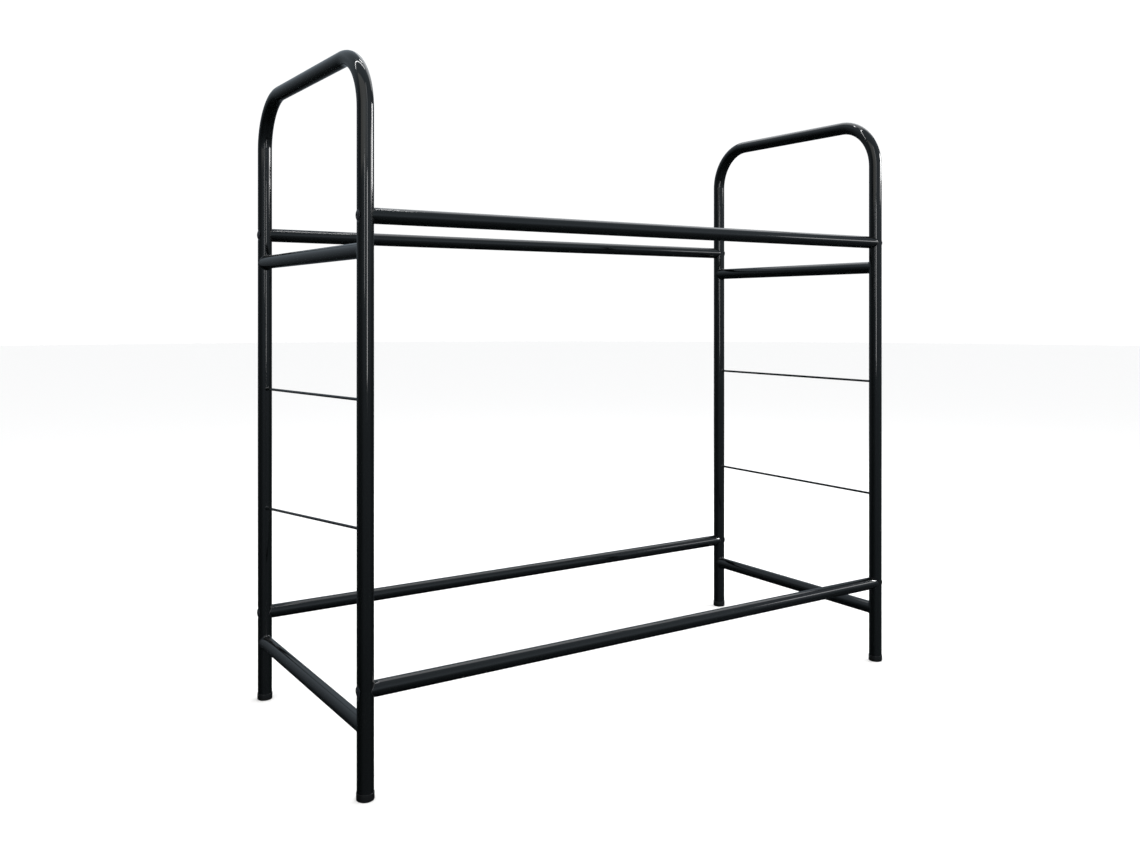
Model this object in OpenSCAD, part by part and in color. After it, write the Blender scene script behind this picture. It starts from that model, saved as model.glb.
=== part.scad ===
// Bunk bed frame of round steel tube: two bent end frames, four bolted side rails.
// X runs along the bed, Y from front (-Y) to back (+Y), Z up. The origin lies on the
// floor under the middle of the bed. All sizes are in millimetres.

/* [Overall] */
// Length between the centres of the left and right posts
bed_length = 1950; // [1750:10:2100]
// Width between the centres of the front and back posts
bed_width = 840; // [700:10:1100]
// Height of the end frames above the floor
bed_height = 1958; // [1750:1:2100]

/* [Tubes] */
// Outside diameter of the bent end tubes
post_d = 44.45; // [43:0.05:50]
// Outside diameter of the side rails and cross tubes
rail_d = 42.4; // [32:0.1:42.9]
// Wall thickness of every tube
tube_wall = 1.5; // [1:0.1:2.5]
// Radius of the two top bends, to the middle of the tube
bend_r = 157; // [80:1:300]
// Diameter of the round bars that make the rungs
rung_d = 8; // [6:0.5:16]

/* [Heights above the floor] */
// Middle of the upper side rails
upper_rail_z = 1503; // [1460:1:1540]
// Middle of the lower side rails
lower_rail_z = 280; // [240:1:420]
// Middle of the upper cross tubes, which carry the upper bunk
upper_cross_z = 1414; // [1250:1:1450]
// Middle of the lower cross tubes, which carry the lower bunk
lower_cross_z = 185; // [120:1:230]
// Upper rung of the right end, which is level
right_upper_rung_z = 1003; // [850:1:1150]
// Lower rung of the right end, which is level
right_lower_rung_z = 597; // [450:1:750]
// Upper rung of the left end, at the back post
left_upper_rung_back_z = 1005; // [850:1:1150]
// Upper rung of the left end, at the front post
left_upper_rung_front_z = 1027; // [850:1:1150]
// Lower rung of the left end, at the back post
left_lower_rung_back_z = 619; // [450:1:750]
// Lower rung of the left end, at the front post
left_lower_rung_front_z = 693; // [450:1:750]

/* [Rail joints] */
// Thread diameter of the rail bolts
bolt_d = 10; // [8:1:12]
// Length of the rail bolts under the head
bolt_length = 75; // [70:5:100]
// Diameter of the domed bolt heads
bolt_head_d = 28; // [20:0.5:32]
// Height of the domed bolt heads
bolt_head_h = 4.4; // [3:0.1:8]
// Hexagon socket in the bolt heads, across its flats
socket_af = 6; // [4:0.5:8]
// Depth of the flats pressed into the posts under the bolt heads
seat_depth = 2.2; // [0.5:0.1:3]
// Thickness of the saddle pieces between a rail and its post
saddle_t = 3; // [1.5:0.5:6]
// Length of the saddle pieces inside the rail
saddle_spigot = 10; // [4:1:14]
// Thickness of the threaded plugs welded inside the rail ends
plug_t = 8; // [5:1:12]

/* [Foot caps] */
// Height of the caps on the post feet
foot_h = 20; // [12:1:40]
// Wall of the foot caps around the post
foot_wall = 1.4; // [1:0.1:4]
// Thickness of the foot caps under the post
foot_base = 5; // [3:0.5:10]
// Rounding of the lower edge of the foot caps
foot_edge = 3; // [1:0.5:4]

/* [Hidden] */
$fn = 64;
LEFT = -1;
RIGHT = 1;
FRONT = -1;
BACK = 1;
post_r = post_d / 2;
rail_r = rail_d / 2;
rail_bore_r = rail_r - tube_wall;
top_z = bed_height - post_r;      // middle of the tube along the top of an end frame
bend_z = top_z - bend_r;          // height where the straight legs end
bolt_clear = 0.3;                 // play round a bolt in the post and the saddle
thread_clear = 0.05;              // play round a bolt in its threaded plug
seat_half = bolt_head_d / 2 + 1;  // half the height of a pressed flat
seat_ramp = 4;                    // height of the slope at each end of a pressed flat
seat_r = post_r - seat_depth;     // from a post's middle to the face of its pressed flats
head_rim = 1.2;                   // straight rim of a bolt head below its dome
socket_depth = 2.6;
saddle_step = 0.4;                // how far a saddle's edge lies inside the rail's surface
spigot_play = 0.2;                // play between a saddle's spigot and the rail
spigot_wall = 3;
plug_gap = 4;                     // free space between a saddle's spigot and the plug
past = 1;                         // how far a cut runs past a face
enamel = "#1b1d1f";
plastic = "#0c0c0d";
bolt_black = "#232427";
zinc = "#b9bcbe";

// Cylinder along +X, starting at the origin
module along_x(r, h) {
    rotate([0, 90, 0])
        cylinder(r = r, h = h);
}

// Cylinder along +Y, starting at the origin
module along_y(r, h) {
    rotate([-90, 0, 0])
        cylinder(r = r, h = h);
}

// The space that a post takes up, standing at the origin
module post_space(height) {
    translate([0, 0, -height / 2])
        cylinder(r = post_r, h = height);
}

// Children placed at a rail's end: origin on the post's axis, +X pointing into the rail
module at_rail_end(end, face, z) {
    translate([end * bed_length / 2, face * bed_width / 2, z])
        rotate([0, 0, end == LEFT ? 0 : 180])
            children();
}

// Children placed at all the rail ends on the given ends of the bed
module at_rail_ends(ends = [LEFT, RIGHT]) {
    for (end = ends)
        for (face = [FRONT, BACK])
            for (z = [lower_rail_z, upper_rail_z])
                at_rail_end(end, face, z)
                    children();
}

// Solid rod bent to an upside-down U in the YZ plane, its legs going down to bottom_z
module hoop(r, bottom_z) {
    straight = bed_width - 2 * bend_r;
    for (face = [FRONT, BACK]) {
        translate([0, face * bed_width / 2, bottom_z])
            cylinder(r = r, h = bend_z - bottom_z);
        translate([0, face * (bed_width / 2 - bend_r), bend_z])
            rotate([90, 0, face == FRONT ? -90 : 90])
                rotate_extrude(angle = 90)
                    translate([bend_r, 0])
                        circle(r = r);
    }
    translate([0, -straight / 2, top_z])
        along_y(r, straight);
}

// The space outside a pressed flat, placed as at a rail's end: sloped above and below
module seat_space() {
    outside = post_r + past;
    reach = seat_half + seat_ramp * (outside - seat_r) / seat_depth;
    rotate([90, 0, 0])
        translate([0, 0, -post_r])
            linear_extrude(post_d)
                polygon([
                    [-seat_r, -seat_half],
                    [-seat_r, seat_half],
                    [-outside, reach],
                    [-outside, -reach]
                ]);
}

// Solid hoop of one end frame, flattened where the bolt heads sit and by the inset more
module pressed_hoop(end, r, bottom_z, inset) {
    difference() {
        translate([end * bed_length / 2, 0, 0])
            hoop(r, bottom_z);
        at_rail_ends([end])
            translate([inset, 0, 0])
                seat_space();
    }
}

// Bent tube of one end frame, pressed flat and drilled through for the rail bolts
module end_tube(end) {
    color(enamel)
        difference() {
            pressed_hoop(end, post_r, foot_base, 0);
            pressed_hoop(end, post_r - tube_wall, foot_base - past, tube_wall);
            at_rail_ends([end])
                translate([-post_r - past, 0, 0])
                    along_x(bolt_d / 2 + bolt_clear, post_d + 2 * past);
        }
}

// Tube across an end frame, its ends cut to the round of the posts
module cross_tube(end, z) {
    color(enamel)
        translate([end * bed_length / 2, 0, z])
            difference() {
                translate([0, -bed_width / 2, 0])
                    along_y(rail_r, bed_width);
                translate([0, -bed_width / 2 - past, 0])
                    along_y(rail_bore_r, bed_width + 2 * past);
                for (face = [FRONT, BACK])
                    translate([0, face * bed_width / 2, 0])
                        post_space(2 * rail_d);
            }
}

// Round bar across an end frame, from its height on the back post to that on the front post
module rung(end, back_z, front_z) {
    rise = front_z - back_z;
    span = norm([bed_width, rise]);
    color(enamel)
        translate([end * bed_length / 2, 0, (back_z + front_z) / 2])
            difference() {
                rotate([-atan2(rise, bed_width), 0, 0])
                    translate([0, -span / 2, 0])
                        along_y(rung_d / 2, span);
                for (face = [FRONT, BACK])
                    translate([0, face * bed_width / 2, 0])
                        post_space(bed_height);
            }
}

// Side rail, its ends cut to the round of the saddles
module side_rail(face, z) {
    half = bed_length / 2 - saddle_t;
    color(enamel)
        translate([0, face * bed_width / 2, z])
            difference() {
                translate([-half, 0, 0])
                    along_x(rail_r, 2 * half);
                translate([-half - past, 0, 0])
                    along_x(rail_bore_r, 2 * half + 2 * past);
                for (end = [LEFT, RIGHT])
                    translate([end * half, 0, 0])
                        post_space(2 * rail_d);
            }
}

// Moulded piece between a rail and its post: a curved flange and a spigot inside the rail
module saddle(end, face, z) {
    reach = post_r + saddle_t + saddle_spigot;
    spigot_r = rail_bore_r - spigot_play;
    color(plastic)
        at_rail_end(end, face, z)
            difference() {
                union() {
                    intersection() {
                        along_x(rail_r - saddle_step, post_r + saddle_t + past);
                        translate([saddle_t, 0, 0])
                            post_space(2 * rail_d);
                    }
                    difference() {
                        along_x(spigot_r, reach);
                        translate([-past, 0, 0])
                            along_x(spigot_r - spigot_wall, reach + 2 * past);
                    }
                }
                post_space(2 * rail_d + 2 * past);
                along_x(bolt_d / 2 + bolt_clear, reach + past);
            }
}

// Threaded steel plugs inside the rail ends
module rail_end_plugs() {
    start = post_r + saddle_t + saddle_spigot + plug_gap;
    color(zinc)
        at_rail_ends()
            translate([start, 0, 0])
                difference() {
                    along_x(rail_bore_r, plug_t);
                    translate([-past, 0, 0])
                        along_x(bolt_d / 2 + thread_clear, plug_t + 2 * past);
                }
}

// Half section of a domed bolt head that stands on Y = 0
module head_section() {
    dome_h = bolt_head_h - head_rim;
    head_r = bolt_head_d / 2;
    dome_r = (head_r * head_r + dome_h * dome_h) / (2 * dome_h);
    square([head_r, head_rim]);
    translate([0, head_rim])
        intersection() {
            translate([0, dome_h - dome_r])
                circle(r = dome_r, $fn = 180);
            square([head_r, dome_h]);
        }
}

// Domed bolts that pull the rails against the posts, their heads on the pressed flats
module rail_bolts() {
    color(bolt_black)
        at_rail_ends()
            translate([-seat_r, 0, 0])
                difference() {
                    union() {
                        rotate([0, -90, 0])
                            rotate_extrude()
                                head_section();
                        translate([-head_rim / 2, 0, 0])
                            along_x(bolt_d / 2, bolt_length + head_rim / 2);
                    }
                    translate([-bolt_head_h - past, 0, 0])
                        rotate([0, 90, 0])
                            cylinder(d = socket_af / cos(30), h = socket_depth + past, $fn = 6);
                }
}

// Cap over the foot of a post
module foot(end, face) {
    outer_r = post_r + foot_wall;
    color(plastic)
        translate([end * bed_length / 2, face * bed_width / 2, 0])
            rotate_extrude()
                difference() {
                    union() {
                        translate([0, foot_edge])
                            square([outer_r, foot_h - foot_edge]);
                        square([outer_r - foot_edge, foot_h / 2]);
                        translate([outer_r - foot_edge, foot_edge])
                            circle(r = foot_edge);
                    }
                    translate([0, foot_base])
                        square([post_r, foot_h]);
                }
}

end_tube(LEFT);  // left_end_tube
end_tube(RIGHT);  // right_end_tube
cross_tube(LEFT, upper_cross_z);  // left_upper_cross_tube
cross_tube(LEFT, lower_cross_z);  // left_lower_cross_tube
cross_tube(RIGHT, upper_cross_z);  // right_upper_cross_tube
cross_tube(RIGHT, lower_cross_z);  // right_lower_cross_tube
rung(LEFT, left_upper_rung_back_z, left_upper_rung_front_z);  // left_upper_rung
rung(LEFT, left_lower_rung_back_z, left_lower_rung_front_z);  // left_lower_rung
rung(RIGHT, right_upper_rung_z, right_upper_rung_z);  // right_upper_rung
rung(RIGHT, right_lower_rung_z, right_lower_rung_z);  // right_lower_rung
side_rail(FRONT, upper_rail_z);  // front_upper_rail
side_rail(FRONT, lower_rail_z);  // front_lower_rail
side_rail(BACK, upper_rail_z);  // back_upper_rail
side_rail(BACK, lower_rail_z);  // back_lower_rail
saddle(LEFT, FRONT, upper_rail_z);  // front_upper_left_saddle
saddle(RIGHT, FRONT, upper_rail_z);  // front_upper_right_saddle
saddle(LEFT, FRONT, lower_rail_z);  // front_lower_left_saddle
saddle(RIGHT, FRONT, lower_rail_z);  // front_lower_right_saddle
saddle(LEFT, BACK, upper_rail_z);  // back_upper_left_saddle
saddle(RIGHT, BACK, upper_rail_z);  // back_upper_right_saddle
saddle(LEFT, BACK, lower_rail_z);  // back_lower_left_saddle
saddle(RIGHT, BACK, lower_rail_z);  // back_lower_right_saddle
rail_end_plugs();
rail_bolts();
foot(LEFT, FRONT);  // front_left_foot
foot(RIGHT, FRONT);  // front_right_foot
foot(LEFT, BACK);  // back_left_foot
foot(RIGHT, BACK);  // back_right_foot
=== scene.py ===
import math

import bpy
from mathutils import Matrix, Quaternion, Vector


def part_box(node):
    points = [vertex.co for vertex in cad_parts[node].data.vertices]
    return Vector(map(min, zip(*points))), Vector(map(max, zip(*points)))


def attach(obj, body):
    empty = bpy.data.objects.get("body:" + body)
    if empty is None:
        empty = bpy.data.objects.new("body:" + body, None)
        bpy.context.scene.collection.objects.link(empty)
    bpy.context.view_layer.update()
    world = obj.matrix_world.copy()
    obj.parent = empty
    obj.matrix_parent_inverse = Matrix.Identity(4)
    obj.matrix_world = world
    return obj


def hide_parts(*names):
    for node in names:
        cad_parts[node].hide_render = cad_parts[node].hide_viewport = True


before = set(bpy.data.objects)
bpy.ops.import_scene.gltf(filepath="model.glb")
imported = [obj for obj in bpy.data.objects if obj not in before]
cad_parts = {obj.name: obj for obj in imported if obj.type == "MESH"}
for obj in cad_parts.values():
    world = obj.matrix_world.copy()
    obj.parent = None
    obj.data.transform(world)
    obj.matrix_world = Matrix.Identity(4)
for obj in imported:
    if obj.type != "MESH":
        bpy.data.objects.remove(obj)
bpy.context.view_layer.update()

# ---------------------------------------------------------------- sizes, in metres
MM = 0.001
SIDES = 64                    # facets round a tube
RUNG_SIDES = 32               # facets round a rung
FORM_SIDES = 256              # facets round the stand-ins that tube ends are fitted to
DRILL_SIDES = 36
DRILL_TURN = 3                # degrees, which keeps the drill's edges off the tube's own
SMOOTH_BELOW = 35             # degrees: sharper edges than this stay crisp
SLACK = 0.1 * MM              # a start just short of its place, or a test just past an edge
MERGE = 0.01 * MM             # points closer than this become one
BEND_STEPS = 20               # rings in a quarter bend
TUBE_WALL = 1.5 * MM
BEND_R = 157 * MM             # bend of the end tubes, to the middle of the tube
EDGE_R = 0.5 * MM             # softening that enamel gives a cut tube end
SADDLE_T = 3 * MM             # saddle between a rail's end and its post
HOLE_R = 5.3 * MM             # bolt holes through the posts
SEAT_DEPTH = 2.2 * MM         # flats pressed into the posts under the bolt heads
SEAT_HALF = 15 * MM           # a flat's reach above and below its bolt
SEAT_RAMP = 4 * MM            # slope from a flat back to the full round of the post
HOLD = 3 * MM                 # a ring this far beside a change of shape keeps it out of the long
                              # faces' shading
TUBE_BEAD = 5 * MM            # weld bead round a cross tube
RUNG_BEAD = 2.5 * MM          # weld bead round a rung
BEAD_SECTION = [(1, 0), (0.55, 0.14), (0.25, 0.4), (0.08, 0.72)]  # rise off tube and post, in beads
BEAD_BITE = 0.2 * MM          # how far a bead reaches into its tube
BOLT_R = 5 * MM
HEAD_R = 14 * MM
HEAD_H = 4.4 * MM
HEAD_RIM = 1.2 * MM           # upright edge below the dome
CROWN_R = 5 * MM              # flat on top of the dome, round the socket
DOME_STEPS = 10
BOLT_LENGTH = 75 * MM
SOCKET_FLATS = 6 * MM
SOCKET_DEPTH = 2.6 * MM
PLUG_START = 39.225 * MM      # from a post's middle to the near face of a rail's plug
PLUG_T = 8 * MM
THREAD_GAP = 0.05 * MM        # between a bolt and its plug
FOOT_EDGE = 3 * MM            # rounding of a foot cap's sole

tube_low, tube_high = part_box("left_end_tube")
POST_R = (tube_high.x - tube_low.x) / 2
SEAT_R = POST_R - SEAT_DEPTH
HALF_LENGTH = -(tube_high.x + tube_low.x) / 2
HALF_WIDTH = tube_high.y - POST_R
POST_FOOT = tube_low.z
TOP_Z = tube_high.z - POST_R
BEND_Z = TOP_Z - BEND_R
rail_low, rail_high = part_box("front_upper_rail")
RAIL_R = (rail_high.z - rail_low.z) / 2
RAIL_BORE_R = RAIL_R - TUBE_WALL
foot_low, foot_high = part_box("front_left_foot")
FOOT_R = (foot_high.x - foot_low.x) / 2
FOOT_H = foot_high.z
CROSS_REACH = HALF_WIDTH - 1.4 * POST_R   # half a cross tube's length before its ends are fitted
RAIL_REACH = HALF_LENGTH - 1.6 * POST_R   # half a side rail's, likewise

FLOOR_R = 40
FLOOR_MIDDLE_R = 6
ROOM_WHITE = 1.04             # level of the white all round, for the camera and on the floor
ROOM_TINT = (0.86, 1.0, 1.13)  # cool red, green and blue of the dim room in the bed's gloss
WARM = (1.0, 0.96, 0.86)      # tint of the large light on the left
ROOM_FADE = 0.4               # the front levels turn into the back ones over this far each way
SIDE_FADE = (0.65, 0.95)      # sideways directions over which the dim room falls off
SIDE_LEVEL = 0.45             # what is left of it at the sides
# the dim room's (elevation in degrees, level), before the bed and behind it
FRONT_LEVELS = [(-90, 0.005), (-55, 0.05), (-20, 0.13), (-5, 0.27), (4, 0.5), (12, 0.6), (45, 0.45),
                (90, 0.5)]
BACK_LEVELS = [(-90, 0.005), (-20, 0.03), (-5, 0.14), (15, 0.3), (30, 0.5), (90, 0.5)]

END_X = {"left": -HALF_LENGTH, "right": HALF_LENGTH}
POST_Y = {"front": -HALF_WIDTH, "back": HALF_WIDTH}


def middle(node):
    """Middle of a CAD node's box."""
    low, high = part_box(node)
    return (low + high) / 2


RAIL_Z = {level: middle(f"front_{level}_rail").z for level in ("upper", "lower")}


# ---------------------------------------------------------------- modelling
def object_mode():
    """Leaves edit mode."""
    if bpy.context.mode != "OBJECT":
        bpy.ops.object.mode_set(mode="OBJECT")


def select_none():
    """Deselects everything, the CAD nodes too."""
    object_mode()
    bpy.ops.object.select_all(action="DESELECT")


def only(piece):
    """Selects one piece and makes it active."""
    select_none()
    piece.select_set(True)
    bpy.context.view_layer.objects.active = piece


def named(name):
    """Names the primitive just added and puts its place into its mesh."""
    piece = bpy.context.active_object
    piece.name = name
    piece.data.name = name
    bpy.ops.object.transform_apply(location=True, rotation=True, scale=True)
    return piece


def edit_all(piece):
    """Opens a piece in edit mode with every vertex selected."""
    only(piece)
    bpy.ops.object.mode_set(mode="EDIT")
    bpy.ops.mesh.select_mode(type="VERT")
    bpy.ops.mesh.select_all(action="SELECT")


def start_ring(name, radius, centre, turn=(0, 0, 0), sides=SIDES):
    """A ring of edges, left selected in edit mode."""
    select_none()
    bpy.ops.mesh.primitive_circle_add(vertices=sides, radius=radius, location=centre, rotation=turn)
    piece = named(name)
    edit_all(piece)
    return piece


def draw(x, y, z):
    """Extrudes the selected ring by a distance."""
    bpy.ops.mesh.extrude_region_move(TRANSFORM_OT_translate={"value": (x, y, z)})


def select_where(piece, test):
    """Opens a piece in edit mode with only the vertices selected whose place passes the test."""
    edit_all(piece)
    object_mode()
    for polygon in piece.data.polygons:
        polygon.select = False
    for edge in piece.data.edges:
        edge.select = False
    for vertex in piece.data.vertices:
        vertex.select = test(vertex.co)
    bpy.ops.object.mode_set(mode="EDIT")


def modify(piece, kind, **settings):
    """Adds a modifier with its settings and applies it."""
    only(piece)
    modifier = piece.modifiers.new(kind.lower(), kind)
    for key, value in settings.items():
        setattr(modifier, key, value)
    bpy.ops.object.modifier_apply(modifier=modifier.name)


def thicken(piece, wall):
    """Gives a tube's skin its wall, on the inside."""
    modify(piece, "SOLIDIFY", thickness=wall, offset=-1, use_rim=True)


def soften(piece, width, angle=40, segments=3):
    """Rounds every edge sharper than the angle."""
    modify(piece, "BEVEL", width=width, segments=segments, limit_method="ANGLE",
           angle_limit=math.radians(angle))


def cut(piece, cutter):
    """Cuts one mesh out of another and deletes the cutter."""
    modify(piece, "BOOLEAN", operation="DIFFERENCE", object=cutter, solver="EXACT")
    bpy.data.objects.remove(cutter)


def post_form(x, y, z, height=0.2):
    """A smooth stand-in for a stretch of post, to fit pieces against."""
    select_none()
    bpy.ops.mesh.primitive_cylinder_add(vertices=FORM_SIDES, radius=POST_R, depth=height,
                                        location=(x, y, z))
    return named("post_form")


def close_up():
    """Merges the doubles of the open piece and turns its faces outwards."""
    bpy.ops.mesh.select_all(action="SELECT")
    bpy.ops.mesh.remove_doubles(threshold=MERGE)
    bpy.ops.mesh.normals_make_consistent(inside=False)


def slide_onto(piece, form, axis, group, gap=0.0):
    """Slides a group of vertices along an axis until they lie on the form, or a gap short of it."""
    modify(piece, "SHRINKWRAP", target=form, wrap_method="PROJECT", vertex_group=group, offset=gap,
           use_project_x=axis == "x", use_project_y=axis == "y",
           use_negative_direction=True, use_positive_direction=True)


def fit_to(piece, form, axis, test):
    """Fits the vertices that pass the test to the form."""
    select_where(piece, test)
    bpy.ops.object.vertex_group_assign_new()
    slide_onto(piece, form, axis, piece.vertex_groups[0].name)
    piece.vertex_groups.clear()


def lathe(name, profile, steps=SIDES):
    """Turns a profile of (radius, height) points round Z, as on a lathe."""
    select_none()
    radius, height = profile[0]
    bpy.ops.mesh.primitive_plane_add(size=1, location=(radius, 0, height))
    piece = named(name)
    edit_all(piece)
    bpy.ops.mesh.merge(type="CENTER")
    for next_radius, next_height in profile[1:]:
        bpy.ops.mesh.extrude_vertices_move(
            TRANSFORM_OT_translate={"value": (next_radius - radius, 0, next_height - height)})
        radius, height = next_radius, next_height
    bpy.ops.mesh.select_all(action="SELECT")
    bpy.ops.mesh.spin(steps=steps, angle=math.tau, center=(0, 0, 0), axis=(0, 0, 1))
    close_up()
    object_mode()
    return piece


def arc(centre, radius, start, end, steps):
    """Points of a profile's arc, from one angle to another, in degrees."""
    angles = [math.radians(start + (end - start) * i / steps) for i in range(steps + 1)]
    return [(centre[0] + radius * math.cos(a), centre[1] + radius * math.sin(a)) for a in angles]


def copy_to(master, name, location, turn=(0, 0, 0)):
    """A copy with its own mesh, turned and put in its place."""
    only(master)
    bpy.ops.object.duplicate(linked=False)
    piece = bpy.context.active_object
    piece.rotation_euler = turn
    piece.location = location
    return named(name)


def dress(piece, material):
    """Gives a piece its one material."""
    piece.data.materials.clear()
    piece.data.materials.append(material)


def finish_piece(piece, material, slot, *nodes):
    """Smooths a piece, gives it its finish and fixes it to the bed."""
    only(piece)
    bpy.ops.object.shade_smooth_by_angle(angle=math.radians(SMOOTH_BELOW))
    dress(piece, material)
    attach(piece, "root")
    if nodes:
        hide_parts(*nodes)


# ---------------------------------------------------------------- materials
def colour(sheet_hex):
    """An sRGB hex colour as linear RGBA."""
    values = [int(sheet_hex[i:i + 2], 16) / 255 for i in (1, 3, 5)]
    return tuple(v / 12.92 if v <= 0.04045 else ((v + 0.055) / 1.055) ** 2.4 for v in values) + (1.0,)


def add(material, kind, settings=None, links=None):
    """Adds a node, sets its properties and sockets, and links other nodes' outputs into it."""
    node = material.node_tree.nodes.new(kind)
    for key, value in (settings or {}).items():
        if hasattr(node, str(key)):
            setattr(node, key, value)
        else:
            node.inputs[key].default_value = value
    for key, source in (links or {}).items():
        material.node_tree.links.new(source, node.inputs[key])
    return node


def new_material(name):
    """A material with no nodes yet."""
    material = bpy.data.materials.new(name)
    material.use_nodes = True
    material.node_tree.nodes.clear()
    return material


def surface(material, settings, links):
    """The shader and the output."""
    shader = add(material, "ShaderNodeBsdfPrincipled", settings, links)
    add(material, "ShaderNodeOutputMaterial", links={"Surface": shader.outputs["BSDF"]})
    return material


def stoved_enamel():
    """Black enamel sprayed on steel tube and stoved: deep gloss with a faint orange peel."""
    peel_width = 8 * MM
    haze_width = 90 * MM
    material = new_material("stoved_black_enamel")
    place = add(material, "ShaderNodeTexCoord").outputs["Object"]
    peel = add(material, "ShaderNodeTexNoise", {"Scale": 1 / peel_width, "Detail": 1.0}, {"Vector": place})
    haze = add(material, "ShaderNodeTexNoise", {"Scale": 1 / haze_width, "Detail": 4.0}, {"Vector": place})
    rough = add(material, "ShaderNodeMapRange",
                {"From Min": 0.3, "From Max": 0.7, "To Min": 0.06, "To Max": 0.1},
                {"Value": haze.outputs["Fac"]})
    tint = add(material, "ShaderNodeMix", {"data_type": "RGBA", 6: colour("#010202"), 7: colour("#030404")},
               {0: haze.outputs["Fac"]})
    bump = add(material, "ShaderNodeBump", {"Strength": 0.05, "Distance": 0.02 * MM},
               {"Height": peel.outputs["Fac"]})
    return surface(material, {"IOR": 1.52},
                   {"Base Color": tint.outputs[2], "Roughness": rough.outputs["Result"],
                    "Normal": bump.outputs["Normal"]})


def moulded_plastic(name, shade, rough_low, rough_high, grain):
    """Black moulded polypropylene: its grain, copied from a spark-eroded mould, scatters the light.

    The grain is drawn several times as coarse as a real one, which would be too fine to show.
    """
    material = new_material(name)
    place = add(material, "ShaderNodeTexCoord").outputs["Object"]
    pits = add(material, "ShaderNodeTexNoise", {"Scale": 1 / grain, "Detail": 3.0}, {"Vector": place})
    rough = add(material, "ShaderNodeMapRange", {"To Min": rough_low, "To Max": rough_high},
                {"Value": pits.outputs["Fac"]})
    bump = add(material, "ShaderNodeBump", {"Strength": 0.35, "Distance": 0.03 * MM},
               {"Height": pits.outputs["Fac"]})
    return surface(material, {"Base Color": colour(shade), "IOR": 1.49},
                   {"Roughness": rough.outputs["Result"], "Normal": bump.outputs["Normal"]})


def black_bolt_steel():
    """Cold-forged steel under black lacquer: smooth, its gloss a little softer than the enamel's."""
    mark_width = 2 * MM
    material = new_material("black_lacquered_bolt")
    place = add(material, "ShaderNodeTexCoord").outputs["Object"]
    marks = add(material, "ShaderNodeTexNoise", {"Scale": 1 / mark_width, "Detail": 5.0}, {"Vector": place})
    rough = add(material, "ShaderNodeMapRange", {"To Min": 0.1, "To Max": 0.18},
                {"Value": marks.outputs["Fac"]})
    bump = add(material, "ShaderNodeBump", {"Strength": 0.1, "Distance": 0.02 * MM},
               {"Height": marks.outputs["Fac"]})
    return surface(material, {"Base Color": colour("#131418"), "IOR": 1.5},
                   {"Roughness": rough.outputs["Result"], "Normal": bump.outputs["Normal"]})


def zinc_plate():
    """Steel plated with zinc: a silver coat whose crystals break its shine into patches.

    Real crystals are too fine to show, so these are drawn 1.5 mm wide.
    """
    crystal_width = 1.5 * MM
    material = new_material("zinc_plated_steel")
    place = add(material, "ShaderNodeTexCoord").outputs["Object"]
    crystals = add(material, "ShaderNodeTexVoronoi", {"Scale": 1 / crystal_width}, {"Vector": place})
    rough = add(material, "ShaderNodeMapRange", {"To Min": 0.28, "To Max": 0.42},
                {"Value": crystals.outputs["Distance"]})
    return surface(material, {"Base Color": colour("#c3c6c8"), "Metallic": 1.0},
                   {"Roughness": rough.outputs["Result"]})


ENAMEL = stoved_enamel()
SADDLE_PLASTIC = moulded_plastic("moulded_saddle_plastic", "#0a0a0a", 0.45, 0.6, 0.5 * MM)
FOOT_PLASTIC = moulded_plastic("moulded_foot_plastic", "#050606", 0.24, 0.36, 0.6 * MM)
BOLT_STEEL = black_bolt_steel()
ZINC = zinc_plate()


# ---------------------------------------------------------------- end frames
def bolt_hole(x, y, z):
    """A drill through a post, along the bed."""
    select_none()
    bpy.ops.mesh.primitive_cylinder_add(vertices=DRILL_SIDES, radius=HOLE_R, depth=3 * POST_R,
                                        location=(x, y, z),
                                        rotation=(math.radians(DRILL_TURN), math.pi / 2, 0))
    return named("drill")


def press_flats(piece, x, z):
    """Presses both posts of an end tube flat on the outside, round a rail's height."""
    out = math.copysign(1, x)
    reach = SEAT_HALF + SLACK
    select_where(piece, lambda co: abs(co.z - z) < reach and (co.x - x) * out > SEAT_R)
    bpy.ops.transform.resize(value=(0, 1, 1), center_override=(x + out * SEAT_R, 0, z))


def end_tube(side):
    """One tube bent to an upside-down U, drilled for the rail bolts."""
    x = END_X[side]
    heights = [POST_FOOT]
    for z in (RAIL_Z["lower"], RAIL_Z["upper"]):
        edge = SEAT_HALF + SEAT_RAMP
        heights += [z - edge - HOLD, z - edge, z - SEAT_HALF, z + SEAT_HALF, z + edge, z + edge + HOLD]
    heights.append(BEND_Z)
    steps = [high - low for low, high in zip(heights, heights[1:])]
    piece = start_ring(f"end_tube_{side}", POST_R, (x, -HALF_WIDTH, POST_FOOT))
    for step in steps:
        draw(0, 0, step)
    bend_y = HALF_WIDTH - BEND_R
    bpy.ops.mesh.spin(steps=BEND_STEPS, angle=math.pi / 2, center=(x, -bend_y, BEND_Z), axis=(1, 0, 0))
    draw(0, 2 * bend_y, 0)
    bpy.ops.mesh.spin(steps=BEND_STEPS, angle=math.pi / 2, center=(x, bend_y, BEND_Z), axis=(1, 0, 0))
    for step in reversed(steps):
        draw(0, 0, -step)
    close_up()
    for z in RAIL_Z.values():
        press_flats(piece, x, z)
    thicken(piece, TUBE_WALL)
    for y in POST_Y.values():
        for z in RAIL_Z.values():
            cut(piece, bolt_hole(x, y, z))
    finish_piece(piece, ENAMEL, "enamelled_tube", f"{side}_end_tube")


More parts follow.
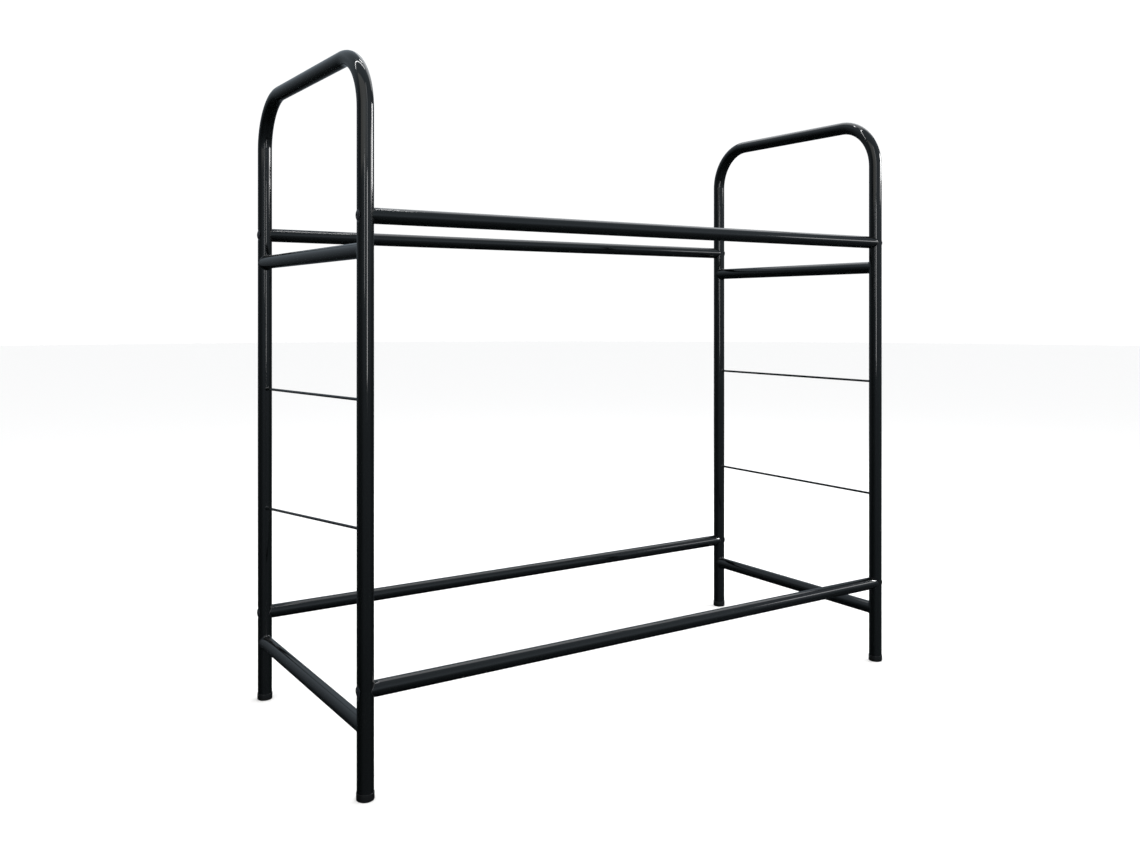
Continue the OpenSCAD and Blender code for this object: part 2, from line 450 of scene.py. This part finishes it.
def cross_tube(side, level):
    """A tube across an end frame, its ends shaped to the posts."""
    node = f"{side}_{level}_cross_tube"
    place = middle(node)
    start = (place.x, -CROSS_REACH, place.z)
    piece = start_ring(f"cross_tube_{side}_{level}", RAIL_R, start, (math.pi / 2, 0, 0))
    draw(0, 2 * CROSS_REACH, 0)
    bpy.ops.mesh.select_all(action="SELECT")
    bpy.ops.mesh.normals_make_consistent(inside=False)
    thicken(piece, TUBE_WALL)
    for y in POST_Y.values():
        form = post_form(place.x, y, place.z)
        fit_to(piece, form, "y", lambda co: co.y * y > 0)
        bpy.data.objects.remove(form)
    finish_piece(piece, ENAMEL, "enamelled_tube", node)


def rung(side, level):
    """A round bar across an end frame, from post to post, rising to the front as its CAD bar does."""
    node = f"{side}_{level}_rung"
    x = END_X[side]
    low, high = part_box(node)
    radius = (high.x - low.x) / 2
    slope = (high.z - low.z - 2 * radius) / (high.y - low.y)
    centre_z = (low.z + high.z) / 2
    reach = HALF_WIDTH - POST_R - SLACK
    start = (x, -reach, centre_z + slope * reach)
    piece = start_ring(f"rung_{side}_{level}", radius, start, (math.pi / 2, 0, 0), RUNG_SIDES)
    bpy.ops.mesh.edge_face_add()
    draw(0, 2 * reach, -2 * reach * slope)
    bpy.ops.mesh.select_all(action="SELECT")
    bpy.ops.mesh.normals_make_consistent(inside=False)
    for y in POST_Y.values():
        form = post_form(x, y, centre_z)
        fit_to(piece, form, "y", lambda co: co.y * y > 0)
        bpy.data.objects.remove(form)
    finish_piece(piece, ENAMEL, "enamelled_tube", node)
    for face, y in POST_Y.items():
        inside = y - math.copysign(POST_R, y)
        weld_z = centre_z - slope * inside
        weld(f"weld_{side}_{level}_rung_{face}", x, y, weld_z, radius, RUNG_BEAD, RUNG_SIDES)


def weld(name, x, y, z, radius, bead, sides=SIDES):
    """A weld bead: a hollow-faced ring that hugs the tube and the post, under the same enamel."""
    centre = (x, math.copysign(CROSS_REACH, y), z)
    inner = radius - BEAD_BITE
    widest = 0.985 * POST_R       # a ring any wider would miss the post
    rings = [(radius + off_tube * bead, off_post * bead) for off_tube, off_post in BEAD_SECTION]
    rings += [(inner, bead), (inner, 0)]
    piece = start_ring(name, inner, centre, (math.pi / 2, 0, 0), sides)
    bpy.ops.object.vertex_group_assign_new()
    width, height = inner, inner
    for ring_r, _ in rings:
        new_width = min(ring_r, widest)
        draw(0, 0, 0)
        bpy.ops.transform.resize(value=(new_width / width, 1, ring_r / height), center_override=centre)
        bpy.ops.object.vertex_group_remove_from(use_all_groups=True)
        bpy.ops.object.vertex_group_assign_new()
        width, height = new_width, ring_r
    form = post_form(x, y, z)
    groups = [group.name for group in piece.vertex_groups]
    for group, rise in zip(groups, [0] + [rise for _, rise in rings]):
        slide_onto(piece, form, "y", group, rise)
    piece.vertex_groups.clear()
    bpy.data.objects.remove(form)
    edit_all(piece)
    close_up()
    finish_piece(piece, ENAMEL, "enamelled_tube")


for side in END_X:
    end_tube(side)
    for level in RAIL_Z:
        cross_tube(side, level)
        z = middle(f"{side}_{level}_cross_tube").z
        for face, y in POST_Y.items():
            weld(f"weld_{side}_{level}_cross_{face}", END_X[side], y, z, RAIL_R, TUBE_BEAD)
for side in END_X:
    for level in RAIL_Z:
        rung(side, level)


# ---------------------------------------------------------------- side rails and their joints
def side_rail(face, level):
    """A side rail, its ends shaped to the saddles."""
    node = f"{face}_{level}_rail"
    place = middle(node)
    start = (-RAIL_REACH, place.y, place.z)
    piece = start_ring(f"rail_{face}_{level}", RAIL_R, start, (0, math.pi / 2, 0))
    for step in (HOLD, 2 * (RAIL_REACH - HOLD), HOLD):
        draw(step, 0, 0)
    bpy.ops.mesh.select_all(action="SELECT")
    bpy.ops.mesh.normals_make_consistent(inside=False)
    thicken(piece, TUBE_WALL)
    for x in END_X.values():
        form = post_form(x - math.copysign(SADDLE_T, x), place.y, place.z)
        out = math.copysign(1, x)
        fit_to(piece, form, "x", lambda co: co.x * out > RAIL_REACH - HOLD / 2)
        bpy.data.objects.remove(form)
    soften(piece, EDGE_R)
    finish_piece(piece, ENAMEL, "enamelled_tube", node)


def bolt_master():
    """A domed bolt along Z: head up, crown flat round its socket, shank down from the origin."""
    dome_h = HEAD_H - HEAD_RIM
    dome_r = (HEAD_R ** 2 + dome_h ** 2) / (2 * dome_h)
    low = math.degrees(math.acos(HEAD_R / dome_r))
    high = math.degrees(math.acos(CROWN_R / dome_r))
    dome = arc((0, HEAD_H - dome_r), dome_r, high, low, DOME_STEPS)
    crown_z = dome[0][1]
    under_edge = 0.3 * MM
    fillet = 0.4 * MM
    chamfer = 1 * MM
    profile = [(0, crown_z)] + dome
    profile += [(HEAD_R, 0.3 * HEAD_RIM), (HEAD_R - under_edge, 0)]
    profile += [(BOLT_R + fillet, 0), (BOLT_R, -fillet)]
    profile += [(BOLT_R, chamfer - BOLT_LENGTH), (BOLT_R - chamfer, -BOLT_LENGTH), (0, -BOLT_LENGTH)]
    piece = lathe("bolt_master", profile)
    select_none()
    bpy.ops.mesh.primitive_cylinder_add(vertices=6, radius=SOCKET_FLATS / 2 / math.cos(math.pi / 6),
                                        depth=2 * SOCKET_DEPTH, location=(0, 0, crown_z))
    cut(piece, named("hexagon_key"))
    soften(piece, 0.2 * MM, angle=50, segments=2)
    return piece


def plug_master():
    """A threaded plug for a rail's end, along Z from the origin up."""
    lip = 0.4 * MM
    bore = BOLT_R + THREAD_GAP
    profile = [(bore + lip, 0), (RAIL_BORE_R - lip, 0), (RAIL_BORE_R, lip), (RAIL_BORE_R, PLUG_T - lip)]
    profile += [(RAIL_BORE_R - lip, PLUG_T), (bore + lip, PLUG_T), (bore, PLUG_T - lip), (bore, lip)]
    profile.append(profile[0])
    return lathe("plug_master", profile)


bolt = bolt_master()
plug = plug_master()
for face, y in POST_Y.items():
    for level, z in RAIL_Z.items():
        side_rail(face, level)
        for side, x in END_X.items():
            out = math.copysign(1, x)
            turn = (0, out * math.pi / 2, 0)
            seat = x + out * SEAT_R
            joint = f"{face}_{level}_{side}"
            one = copy_to(bolt, f"bolt_{joint}", (seat, y, z), turn)
            finish_piece(one, BOLT_STEEL, "black_bolt", "rail_bolts")
            one = copy_to(plug, f"plug_{joint}", (x - out * (PLUG_START + PLUG_T), y, z), turn)
            finish_piece(one, ZINC, "zinc_plug", "rail_end_plugs")
            dress(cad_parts[f"{joint}_saddle"], SADDLE_PLASTIC)
for master in (bolt, plug):
    bpy.data.objects.remove(master)


# ---------------------------------------------------------------- feet
def foot_master():
    """A cap for a post's foot, along Z from the floor up."""
    rim = 0.5 * MM
    flat = FOOT_R - FOOT_EDGE
    profile = [(0, 0), (0.7 * flat, 0)] + arc((flat, FOOT_EDGE), FOOT_EDGE, -90, 0, steps=8)
    profile += arc((FOOT_R - rim, FOOT_H - rim), rim, 0, 90, steps=4)
    profile += [(POST_R, FOOT_H), (POST_R, POST_FOOT), (0, POST_FOOT)]
    return lathe("foot_master", profile)


foot = foot_master()
for face, y in POST_Y.items():
    for side, x in END_X.items():
        one = copy_to(foot, f"foot_{face}_{side}", (x, y, 0))
        finish_piece(one, FOOT_PLASTIC, "foot_cap", f"{face}_{side}_foot")
bpy.data.objects.remove(foot)


# ---------------------------------------------------------------- stage, light and camera
def white_floor():
    """A pale paper floor, wide enough to meet the pale room at the horizon."""
    select_none()
    bpy.ops.mesh.primitive_circle_add(vertices=64, radius=FLOOR_R, fill_type="NGON", location=(0, 0, 0))
    piece = named("white_floor")
    edit_all(piece)
    bpy.ops.mesh.inset(thickness=FLOOR_R - FLOOR_MIDDLE_R, depth=0)
    object_mode()
    grain_width = 3 * MM
    material = new_material("white_paper_floor")
    grain = add(material, "ShaderNodeTexNoise", {"Scale": 1 / grain_width, "Detail": 2.0},
                {"Vector": add(material, "ShaderNodeTexCoord").outputs["Object"]})
    tooth = add(material, "ShaderNodeBump", {"Strength": 0.1, "Distance": 0.1 * MM},
                {"Height": grain.outputs["Fac"]})
    surface(material, {"Base Color": colour("#fafafa"), "Roughness": 0.9},
            {"Normal": tooth.outputs["Normal"]})
    dress(piece, material)
    return piece


def softbox(name, place, aim, width, height, power, roll=0, tint=(1, 1, 1)):
    """A rectangular soft light that points at a spot, rolled by an angle in degrees."""
    light = bpy.data.lights.new(name, "AREA")
    light.shape = "RECTANGLE"
    light.size = width
    light.size_y = height
    light.energy = power
    light.color = tint
    lamp = bpy.data.objects.new(name, light)
    bpy.context.scene.collection.objects.link(lamp)
    lamp.location = place
    facing = (Vector(aim) - Vector(place)).to_track_quat("-Z", "Y")
    lamp.rotation_euler = (facing @ Quaternion((0, 0, 1), math.radians(roll))).to_euler()


def room_ramp(world, height, levels):
    """Light of the dim room by height, from (elevation in degrees, level) pairs."""
    ramp = add(world, "ShaderNodeValToRGB", links={"Fac": height})
    stops = ramp.color_ramp.elements
    for _ in levels[2:]:
        stops.new(0.5)
    for stop, (elevation, level) in zip(stops, levels):
        stop.position = (math.sin(math.radians(elevation)) + 1) / 2
        stop.color = tuple(level * tint for tint in ROOM_TINT) + (1,)
    return ramp.outputs["Color"]


def studio_air():
    """White all round for the camera and the floor, and a dim room for what the gloss reflects."""
    world = bpy.data.worlds.new("studio")
    bpy.context.scene.world = world
    world.use_nodes = True
    world.node_tree.nodes.clear()
    way = add(world, "ShaderNodeTexCoord").outputs["Generated"]
    axes = add(world, "ShaderNodeSeparateXYZ", links={"Vector": way}).outputs
    height = add(world, "ShaderNodeMapRange", {"From Min": -1.0}, {"Value": axes["Z"]}).outputs["Result"]
    behind = add(world, "ShaderNodeMapRange", {"From Min": -ROOM_FADE, "From Max": ROOM_FADE},
                 {"Value": axes["Y"]})
    room = add(world, "ShaderNodeMix", {"data_type": "RGBA"},
               {0: behind.outputs["Result"], 6: room_ramp(world, height, FRONT_LEVELS),
                7: room_ramp(world, height, BACK_LEVELS)})
    sideways = add(world, "ShaderNodeMath", {"operation": "ABSOLUTE"}, {0: axes["X"]}).outputs["Value"]
    sides = add(world, "ShaderNodeMapRange",
                {"From Min": SIDE_FADE[0], "From Max": SIDE_FADE[1], "To Min": 1.0, "To Max": SIDE_LEVEL},
                {"Value": sideways})
    room = add(world, "ShaderNodeVectorMath", {"operation": "SCALE"},
               {0: room.outputs[2], "Scale": sides.outputs["Result"]})
    gloss = add(world, "ShaderNodeLightPath").outputs["Is Glossy Ray"]
    seen = add(world, "ShaderNodeMix", {"data_type": "RGBA", 6: (ROOM_WHITE, ROOM_WHITE, ROOM_WHITE, 1)},
               {0: gloss, 7: room.outputs["Vector"]})
    air = add(world, "ShaderNodeBackground", links={"Color": seen.outputs[2]})
    add(world, "ShaderNodeOutputWorld", links={"Surface": air.outputs["Background"]})


floor = white_floor()
floor.visible_glossy = False          # the bed's gloss reflects the dim room below it, not the floor
studio_air()
softbox("right_window", place=(5.3, -3.5, 2.65), aim=(-0.9, -0.4, 1.7), width=2.4, height=0.8, power=26)
softbox("right_slit", place=(5.0, -1.6, 2.85), aim=(-0.9, -0.4, 1.7), width=1.0, height=1.1, power=107)
softbox("near_strip", place=(-1.5, 0.1, 4.5), aim=(-1.5, 0.1, 0), width=4.2, height=0.09, power=26,
        roll=-14)
softbox("far_strip", place=(0.2, 0.43, 4.5), aim=(0.2, 0.43, 0), width=0.6, height=0.1, power=5)
softbox("left_wall", place=(-3.6, -2.7, 4.0), aim=(-0.97, -0.44, 1.75), width=5.6, height=4.0, power=46,
        tint=WARM)
softbox("front_tall_top", place=(-0.8, -3.1, 3.3), aim=(0, -0.4, 1.7), width=0.4, height=2.6, power=6)
softbox("front_tall_box", place=(-0.8, -3.1, 1.45), aim=(0, 0, 1.3), width=0.4, height=1.1, power=11)
softbox("left_front_box", place=(-2.6, -3.0, 1.75), aim=(-0.9, 0, 1.5), width=0.2, height=0.8, power=3)
softbox("overhead_box", place=(2.6, 1.2, 4.2), aim=(2.6, 0, 0), width=4.4, height=3.0, power=55)

view = bpy.data.cameras.new("camera")
view.lens = 33.0
view.sensor_width = 36.0
view.shift_y = -0.102
view.clip_end = 100
camera = bpy.data.objects.new("camera", view)
bpy.context.scene.collection.objects.link(camera)
camera.location = (-2.0186, -2.9545, 1.2562)
camera.rotation_euler = (math.pi / 2, 0, -0.584)
bpy.context.scene.camera = camera
bpy.context.scene.view_settings.view_transform = "Standard"
